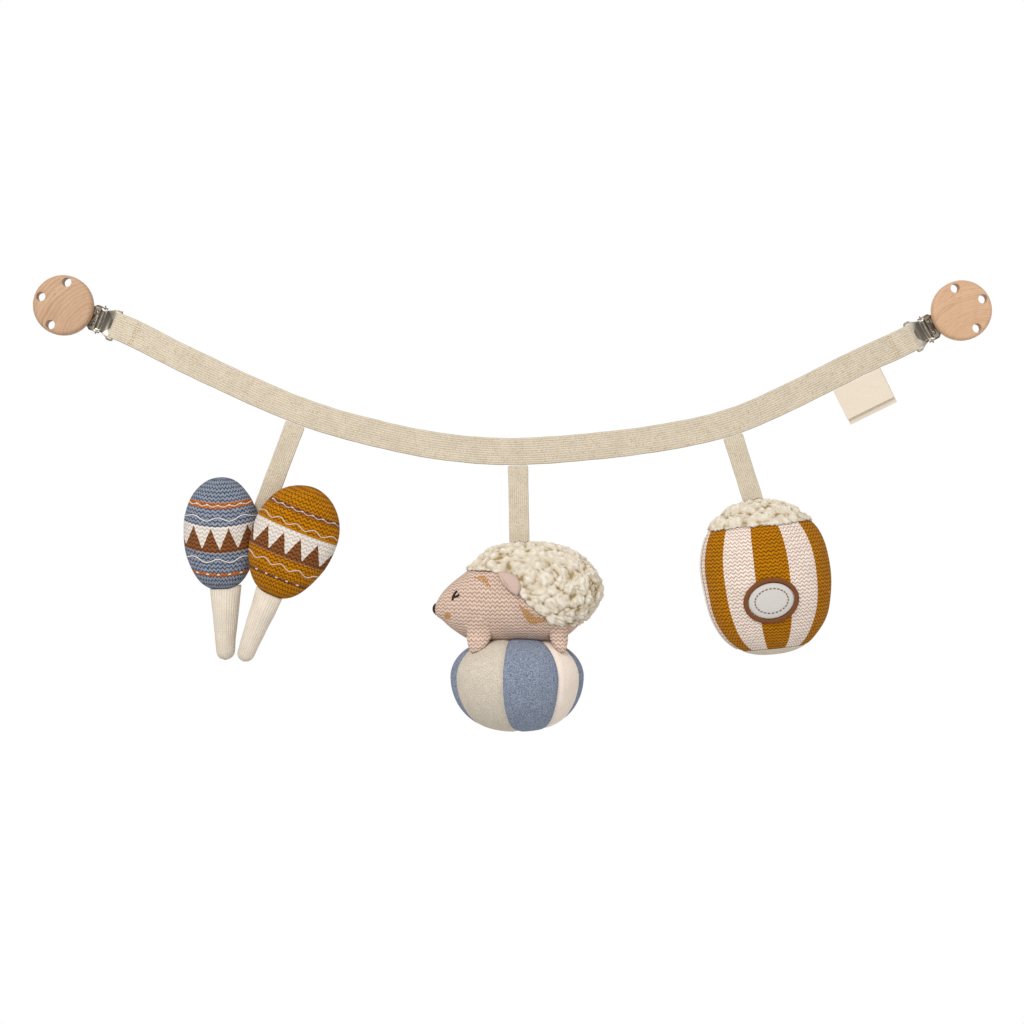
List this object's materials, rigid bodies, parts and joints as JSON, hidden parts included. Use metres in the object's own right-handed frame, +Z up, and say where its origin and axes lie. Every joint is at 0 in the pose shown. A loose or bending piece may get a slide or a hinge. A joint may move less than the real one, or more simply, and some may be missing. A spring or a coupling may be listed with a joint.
{
  "type": "pram chain toy",
  "caption": "Knitted strap with a wooden clip at each end and three stuffed toys hanging from it on short ribbons, to clip across a pram.",
  "frame": {"origin": "midway between the middles of the two wooden discs' rear faces, on the straight line from which the two clips hold the chain", "axes": "+Z up as the chain hangs, +X from the maracas' clip to the popcorn bag's clip, -Y out of the front face of the toys and discs"},
  "size_m": [0.5739, 0.068, 0.2732],
  "materials": {
    "strap_knit": "matte",
    "label_cotton": "matte",
    "beech": "satin",
    "nickel_steel": "polished",
    "grip_plastic": "satin",
    "blue_knit": "matte",
    "mustard_knit": "matte",
    "handle_knit": "matte",
    "pink_knit": "matte",
    "fleece": "matte",
    "dark_thread": "satin",
    "ball_cotton": "matte",
    "bag_knit": "matte",
    "badge_felt": "matte",
    "brown_thread": "matte"
  },
  "bodies": {
    "strap": {"strap": "strap_knit", "maker_label": "label_cotton", "care_label": "label_cotton"},
    "left_lever": {"left_lever": "nickel_steel", "left_hinge_pin": "nickel_steel"},
    "left_clip": {"left_wooden_disc": "beech", "left_base_plate": "nickel_steel", "left_tack_1": "nickel_steel", "left_tack_2": "nickel_steel"},
    "left_jaw": {"left_jaw": "nickel_steel", "left_grip_pad": "grip_plastic"},
    "right_lever": {"right_lever": "nickel_steel", "right_hinge_pin": "nickel_steel"},
    "right_clip": {"right_wooden_disc": "beech", "right_base_plate": "nickel_steel", "right_tack_1": "nickel_steel", "right_tack_2": "nickel_steel"},
    "right_jaw": {"right_jaw": "nickel_steel", "right_grip_pad": "grip_plastic"},
    "maraca_ribbon": {"maraca_ribbon": "strap_knit"},
    "maracas": {"maraca_ribbon_end": "strap_knit", "blue_maraca_head": "blue_knit", "blue_maraca_handle": "handle_knit", "mustard_maraca_head": "mustard_knit", "mustard_maraca_handle": "handle_knit"},
    "hedgehog_ribbon": {"hedgehog_ribbon": "strap_knit"},
    "hedgehog_and_ball": {"hedgehog_ribbon_end": "strap_knit", "hedgehog_body": "pink_knit", "hedgehog_fleece": "fleece", "hedgehog_nose": "dark_thread", "hedgehog_near_ear": "pink_knit", "hedgehog_far_ear": "pink_knit", "hedgehog_front_near_foot": "pink_knit", "hedgehog_front_far_foot": "pink_knit", "hedgehog_rear_near_foot": "pink_knit", "hedgehog_rear_far_foot": "pink_knit", "ball": "ball_cotton"},
    "popcorn_ribbon": {"popcorn_ribbon": "strap_knit"},
    "popcorn": {"popcorn_ribbon_end": "strap_knit", "popcorn_base": "bag_knit", "popcorn_bag": "bag_knit", "popcorn_top": "fleece", "popcorn_badge": "badge_felt", "popcorn_badge_rim": "brown_thread"}
  },
  "joints": [
    {"name": "left_clip_swivel", "type": "hinge", "parent": "strap", "child": "left_lever", "pos_m": [-0.2376, 0.00189, -0.01058], "axis": [0.3616, 0, 0.9323], "range_deg": [-80, 80]},
    {"name": "left_clip_opening", "type": "hinge", "parent": "left_lever", "child": "left_clip", "pos_m": [-0.24748, 0.00189, -0.00675], "axis": [0.3616, 0, 0.9323], "range_deg": [0, 90]},
    {"name": "left_jaw_opening", "type": "hinge", "parent": "left_clip", "child": "left_jaw", "pos_m": [-0.25084, 0.00325, -0.00544], "axis": [-0.3616, 0, -0.9323], "range_deg": [0, 25]},
    {"name": "right_clip_swivel", "type": "hinge", "parent": "strap", "child": "right_lever", "pos_m": [0.23952, 0.00189, -0.01772], "axis": [0.4818, 0, -0.8763], "range_deg": [-80, 80]},
    {"name": "right_clip_opening", "type": "hinge", "parent": "right_lever", "child": "right_clip", "pos_m": [0.24881, 0.00189, -0.01261], "axis": [0.4818, 0, -0.8763], "range_deg": [0, 90]},
    {"name": "right_jaw_opening", "type": "hinge", "parent": "right_clip", "child": "right_jaw", "pos_m": [0.25196, 0.00325, -0.01087], "axis": [-0.4818, 0, 0.8763], "range_deg": [0, 25]},
    {"name": "maraca_ribbon_swing", "type": "hinge", "parent": "strap", "child": "maraca_ribbon", "pos_m": [-0.13052, 0, -0.07021], "axis": [0.9359, 0, -0.3521], "range_deg": [-75, 75]},
    {"name": "maraca_turn", "type": "hinge", "parent": "maraca_ribbon", "child": "maracas", "pos_m": [-0.14677, 0, -0.1134], "axis": [0.3521, 0, 0.9359], "range_deg": [-90, 90], "stiffness_Nm_per_rad": 0.002},
    {"name": "hedgehog_ribbon_swing", "type": "hinge", "parent": "strap", "child": "hedgehog_ribbon", "pos_m": [0.00337, 0, -0.09506], "axis": [0.9998, 0, 0.0187], "range_deg": [-75, 75]},
    {"name": "hedgehog_turn", "type": "hinge", "parent": "hedgehog_ribbon", "child": "hedgehog_and_ball", "pos_m": [0.00413, 0, -0.1354], "axis": [-0.0187, 0, 0.9998], "range_deg": [-90, 90], "stiffness_Nm_per_rad": 0.002},
    {"name": "popcorn_ribbon_swing", "type": "hinge", "parent": "strap", "child": "popcorn_ribbon", "pos_m": [0.1325, 0, -0.07741], "axis": [0.9533, 0, 0.3021], "range_deg": [-75, 75]},
    {"name": "popcorn_turn", "type": "hinge", "parent": "popcorn_ribbon", "child": "popcorn", "pos_m": [0.14197, 0, -0.1073], "axis": [-0.3021, 0, 0.9533], "range_deg": [-90, 90], "stiffness_Nm_per_rad": 0.002}
  ],
  "couplings": [
    {"joint": "left_jaw_opening", "follows": "left_clip_opening", "ratio": 0.27778},
    {"joint": "right_jaw_opening", "follows": "right_clip_opening", "ratio": 0.27778}
  ]
}
